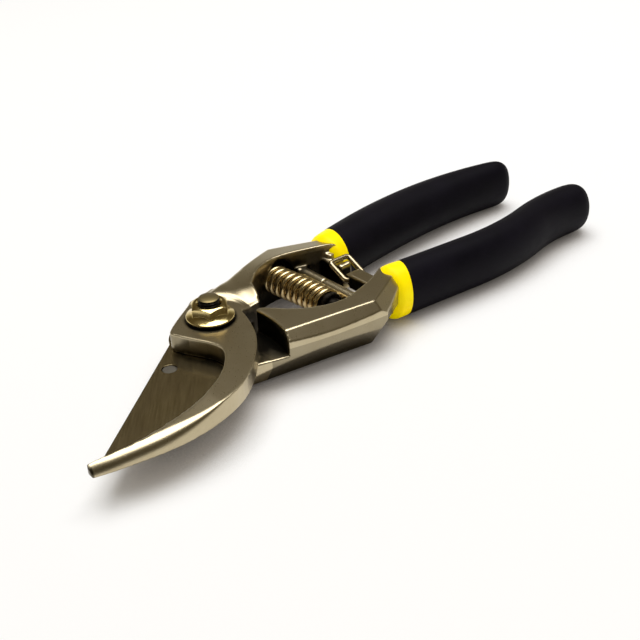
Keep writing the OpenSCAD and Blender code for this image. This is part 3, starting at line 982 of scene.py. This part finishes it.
def dipped(name, side, stations):
    """A dipped layer: an oval is extruded along X through its stations, each (place, half width,
    height) in mm, then laid along the grip's middle line."""
    clear_selection()
    bpy.ops.mesh.primitive_circle_add(vertices=GRIP_SIDES, radius=1, fill_type="NOTHING",
                                      location=(0, 0, 0), rotation=(0, math.radians(90), 0))
    piece = settle(named(name))
    ring = np.array([v.co for v in piece.data.vertices])
    angle = np.arctan2(ring[:, 2], ring[:, 1])
    lean = GRIPS[side]["lean"]

    def oval(station):
        place, half, high = station
        across = half * np.cos(angle)
        dip = across * math.tan(math.radians(np.interp(place, (0, COLLAR_L), lean)))
        dip *= 1 - smoothstep((place - LEAN_KEPT) / LEAN_FADE)
        return np.stack([place + LEAD + dip, across, high / 2 * np.sin(angle)], 1)

    set_points(piece, oval(stations[0]))
    take(piece)
    for station in stations[1:]:
        bpy.ops.object.mode_set(mode="EDIT")
        bpy.ops.mesh.extrude_edges_move()
        bpy.ops.object.mode_set(mode="OBJECT")
        chosen = np.array([v.select for v in piece.data.vertices])
        co = points_of(piece)
        co[chosen] = oval(station)
        set_points(piece, co)
    bpy.ops.object.mode_set(mode="EDIT")
    bpy.ops.mesh.edge_face_add()
    bpy.ops.mesh.select_all(action="DESELECT")
    bpy.ops.mesh.select_non_manifold()
    bpy.ops.mesh.edge_face_add()
    bpy.ops.object.mode_set(mode="OBJECT")
    outward(piece)
    finish_with(piece, "SUBSURF", levels=2, render_levels=2)
    guide = middle_line(side)
    finish_with(piece, "CURVE", object=guide, deform_axis="POS_X")
    bpy.data.objects.remove(guide)
    co = points_of(piece)
    co[:, 2] += GRIP_MID
    set_points(piece, co)
    return smooth_all(outward(piece))


def half_width(side, s):
    """Half of the grip's width at s mm along it. The far grip swells and then tapers."""
    if side == "near":
        return NEAR_GRIP_W / 2
    u = min(1, max(0, s / GRIPS["far"]["length"]))
    return (FAR_GRIP_W + FAR_SWELL * math.sin(math.pi * u) - FAR_TAPER * u ** 3) / 2


# The collar's outline as (place, how far its sides are in, how far its top is down): a lip flared
# onto the arm, a flat, and an edge that the black layer covers
COLLAR_OUTLINE = [(-1.9, 3.2, 1.9), (-1.6, 2.5, 1.5), (-0.7, 1.1, 0.8), (0.3, 0.25, 0.2), (1.2, 0, 0),
                  (3.0, 0, 0), (COLLAR_L + 1, 0, 0), (COLLAR_L + 1.5, 0.6, 0.6), (COLLAR_L + 1.5, 1.5, 1.5)]
# The black layer's front edge as (place, how far in)
GRIP_FRONT = [(COLLAR_L, 1.3), (COLLAR_L, 0.3), (COLLAR_L + 0.25, 0), (COLLAR_L + 1, -0.12)]
# The angles of the rings round the grip's end
END_RINGS = [0, 25, 45, 62, 76, 86]


def grip_stations(side):
    """The black layer's rings, from its front edge to its rounded end."""
    length = GRIPS[side]["length"]
    stations = [(s, half_width(side, s) - inset, GRIP_H - 2 * max(inset, 0)) for s, inset in GRIP_FRONT]
    s = COLLAR_L + STATION_GAP
    while s < length - 2:
        stations.append((s, half_width(side, s), GRIP_H))
        s += STATION_GAP
    for ring in END_RINGS:
        k = math.cos(math.radians(ring))
        stations.append((length + END_L * math.sin(math.radians(ring)), half_width(side, length) * k,
                         GRIP_H - END_DROP * (1 - k)))
    return stations


for side in GRIPS:
    body = GRIPS[side]["body"]
    outline = [(s, half_width(side, s) - inset, GRIP_H - 2 * low) for s, inset, low in COLLAR_OUTLINE]
    collar = dipped(side + "_collar_dressed", side, outline)
    dress(collar, YELLOW_VINYL)
    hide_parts(side + "_collar")
    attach(collar, body)
    grip = dipped(side + "_grip_dressed", side, grip_stations(side))
    dress(grip, BLACK_VINYL)
    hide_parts(side + "_grip")
    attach(grip, body)

# ---------------------------------------------------------------- floor and light

WINDOW = math.radians(40)      # the bright side of the room, from +X towards +Y


def studio_world():
    """A plain room: a bright band low down, where the walls meet the table, and dim above it."""
    world = bpy.data.worlds.new("studio")
    bpy.context.scene.world = world
    world.use_nodes = True
    way = add_node(world, "TexCoord").outputs["Generated"]
    height = add_node(world, "SeparateXYZ", Vector=way).outputs["Z"]
    sky = ramp(world, height, [(0.0, "#ffffff"), (0.12, "#dedace"), (0.26, "#8f8874"), (0.42, "#544a34"),
                               (0.7, "#544a34"), (1.0, "#8f887a")])
    # the side of the room behind the camera has no window
    front = add_node(world, "VectorMath", {"operation": "DOT_PRODUCT"}, n0=way,
                     n1=(-math.cos(WINDOW), -math.sin(WINDOW), -0.35)).outputs["Value"]
    dim = ramp(world, front, [(0.1, 0.0), (0.6, 0.85)])
    sky = mixed(world, dim, sky, hex_colour("#3f3a31"))
    join(world, sky, world.node_tree.nodes["Background"].inputs["Color"])
    world.node_tree.nodes["Background"].inputs["Strength"].default_value = 1.0


TABLE_SIZE = 6.0               # metres
TABLE_GAP = 0.0002
PAPER_WHITE = 0.3              # the share of the camera's view that is plain white paper


def white_table():
    """A white paper table. To the camera it is nearer to white than the light on it makes it, and it
    keeps the tool's shadow."""
    clear_selection()
    bpy.ops.mesh.primitive_plane_add(size=TABLE_SIZE, location=(0, 0, -TABLE_GAP))
    floor = settle(named("floor"))
    paper, shader = new_finish("white_table", Roughness=0.9, Specular_IOR_Level=0.0)
    # painted shadow: close under the tool the paper's colour is darkened by ambient occlusion
    open_sky = add_node(paper, "AmbientOcclusion", {"samples": 5}, Distance=17 * MM).outputs["AO"]
    shade = ramp(paper, open_sky, [(0.05, "#3f3932"), (0.4, "#cdc6bf"), (0.75, "#fdfdfd")])
    join(paper, shade, shader.inputs["Base Color"])
    rays = add_node(paper, "LightPath").outputs
    seen = add_node(paper, "Math", {"operation": "MAXIMUM"}, n0=rays["Is Camera Ray"],
                    n1=rays["Is Transmission Ray"]).outputs[0]
    share = add_node(paper, "Math", {"operation": "MULTIPLY"}, n0=seen, n1=PAPER_WHITE).outputs[0]
    white = add_node(paper, "Emission", Color=shade, Strength=1.0)
    both = add_node(paper, "MixShader", Fac=share, n1=shader.outputs[0], n2=white.outputs[0])
    join(paper, both.outputs[0], paper.node_tree.nodes["Material Output"].inputs["Surface"])
    dress(floor, paper)


TOOL_MIDDLE = Vector((0.045, 0, 0))


def soft_light(name, azimuth, elevation, far, size, power):
    """A soft box that looks at the middle of the tool from a direction, far metres away."""
    data = bpy.data.lights.new(name, "AREA")
    data.shape = "RECTANGLE"
    data.size, data.size_y = size
    data.energy = power
    lamp = bpy.data.objects.new(name, data)
    bpy.context.scene.collection.objects.link(lamp)
    a, e = math.radians(azimuth), math.radians(elevation)
    way = Vector((math.cos(e) * math.cos(a), math.cos(e) * math.sin(a), math.sin(e)))
    lamp.location = TOOL_MIDDLE + far * way
    lamp.rotation_euler = (-way).to_track_quat("-Z", "Y").to_euler()


studio_world()
white_table()
soft_light("overhead_softbox", azimuth=30, elevation=81, far=1.6, size=(1.5, 1.3), power=29)

# ---------------------------------------------------------------- image points

# Where things show in the photograph's frame, in pixels from its top left corner. The nut's flange,
# the bolt's end, the collars and the grips' ends set the camera.
IMAGE_POINTS = {
    "object_left": (87.4, None), "object_right": (590.8, None),
    "object_top": (None, 163.4), "object_bottom": (None, 482.2),
    "nut_flange_left": (185.9, None), "nut_flange_right": (234.7, None),
    "nut_flange_bottom": (None, 329.2), "bolt_end": (208.5, 297.7), "flush_pin": (169.6, 369.6),
    "spring_left": (265.0, None), "latch_top": (None, 254.0), "latch_left": (328.5, None),
    "near_collar_right": (414.5, None), "near_collar_top": (None, 260.2),
    "far_collar_right": (347.0, None), "far_grip_right": (507.0, None), "near_grip_top": (None, 184.3),
}


def ray_through(x, y):
    """The camera's ray through an image point, as a start and a direction in the scene."""
    shift_x, shift_y = camera.data.shift_x, camera.data.shift_y
    long_side = max(IMAGE_W, IMAGE_H)
    way = Vector((x - IMAGE_W / 2 + shift_x * long_side, IMAGE_H / 2 - y + shift_y * long_side,
                  -long_side * camera.data.lens / camera.data.sensor_width))
    return camera.matrix_world.translation, (camera.matrix_world.to_3x3() @ way).normalized()


RAY_STEP = 0.004
RAY_STEPS = range(20, 180)     # 8 to 72 cm from the camera


def place_on(tree, x, y):
    """Where an image point falls on a finished surface, or the place on it nearest the ray."""
    start, way = ray_through(x, y)
    hit = tree.ray_cast(start, way)[0]
    if hit is None:
        # (place, distance) of the surface nearest each point along the ray
        beside = [tree.find_nearest(start + way * t * RAY_STEP)[::3] for t in RAY_STEPS]
        hit = min(beside, key=lambda found: found[1])[0]
    return hit


def to_image(points):
    """Points in metres to their pixels."""
    inverse = np.array(camera.matrix_world.inverted())
    seen = points @ inverse[:3, :3].T + inverse[:3, 3]
    scale = max(IMAGE_W, IMAGE_H) * camera.data.lens / camera.data.sensor_width / -seen[:, 2]
    return np.stack([IMAGE_W / 2 + seen[:, 0] * scale - camera.data.shift_x * IMAGE_W,
                     IMAGE_H / 2 - seen[:, 1] * scale + camera.data.shift_y * IMAGE_W], 1)


SHOWS_WITHIN = 0.0004          # metres, so that a vertex isn't hidden by its own face
SAMPLE_OF = 6000               # vertices looked at, at most, for a piece's middle


def shows(point, tree):
    """Whether nothing stands between the camera and a vertex."""
    start = camera.matrix_world.translation
    way = Vector(point) - start
    return tree.ray_cast(start, way.normalized(), way.length - SHOWS_WITHIN)[0] is None


def showing(pieces, tree, keep=None):
    """The pixels of the vertices that show of some pieces."""
    co = np.concatenate([points_of(p) for p in pieces])
    if keep is not None:
        co = co[keep(co)]
    co = co[::max(1, len(co) // SAMPLE_OF)] * MM
    return to_image(co[[shows(p, tree) for p in co]])


def edge_of(pieces, tree, axis, sign):
    """The pixel, along x or y, of the outermost vertex that shows, to the side of the sign."""
    co = np.concatenate([points_of(p) for p in pieces]) * MM
    seen = to_image(co)[:, axis]
    for k in np.argsort(-sign * seen):
        if shows(co[k], tree):
            return float(seen[k])


# The CAD nodes that a dressed piece stands in for
REPLACED = ("hook_handle", "blade_handle", "blade", "blade_pin", "flange_nut", "pivot_washer", "pivot_bolt",
            "coil_spring", "near_spring_peg", "far_spring_peg", "near_collar", "far_collar", "near_grip",
            "far_grip")


def write_points():
    """Works out how far each thing shows from its image point."""
    pieces = [o for o in bpy.context.scene.objects if o.type == "MESH" and o.name != "floor"
              and o.name not in REPLACED]
    tree = tree_of(pieces)
    piece = bpy.data.objects
    end = showing([bolt], tree, lambda co: co[:, 2] > BOLT_TOP - 0.2)
    head = showing([pin], tree)
    found = {
        "object_left": (edge_of(pieces, tree, 0, -1), None),
        "object_right": (edge_of(pieces, tree, 0, 1), None),
        "object_top": (None, edge_of(pieces, tree, 1, -1)),
        "object_bottom": (None, edge_of(pieces, tree, 1, 1)),
        "nut_flange_left": (edge_of([nut], tree, 0, -1), None),
        "nut_flange_right": (edge_of([nut], tree, 0, 1), None),
        "nut_flange_bottom": (None, edge_of([nut], tree, 1, 1)),
        "bolt_end": tuple(float(v) for v in (end.min(0) + end.max(0)) / 2),
        "flush_pin": tuple(float(v) for v in (head.min(0) + head.max(0)) / 2),
        "spring_left": (edge_of([spring], tree, 0, -1), None),
        "latch_top": (None, edge_of([latch], tree, 1, -1)),
        "latch_left": (edge_of([latch], tree, 0, -1), None),
        "near_collar_right": (edge_of([piece["near_collar_dressed"]], tree, 0, 1), None),
        "near_collar_top": (None, edge_of([piece["near_collar_dressed"]], tree, 1, -1)),
        "far_collar_right": (edge_of([piece["far_collar_dressed"]], tree, 0, 1), None),
        "far_grip_right": (edge_of([piece["far_grip_dressed"]], tree, 0, 1), None),
        "near_grip_top": (None, edge_of([piece["near_grip_dressed"]], tree, 1, -1)),
    }
    report = {}
    for name, point in IMAGE_POINTS.items():
        off = [None if p is None or f is None else round(f - p, 2) for p, f in zip(point, found[name])]
        report[name] = {"point": point, "off_x": off[0], "off_y": off[1]}
        if None not in point:
            report[name]["falls_at_mm"] = [round(v / MM, 2) for v in place_on(tree, *point)]


write_points()
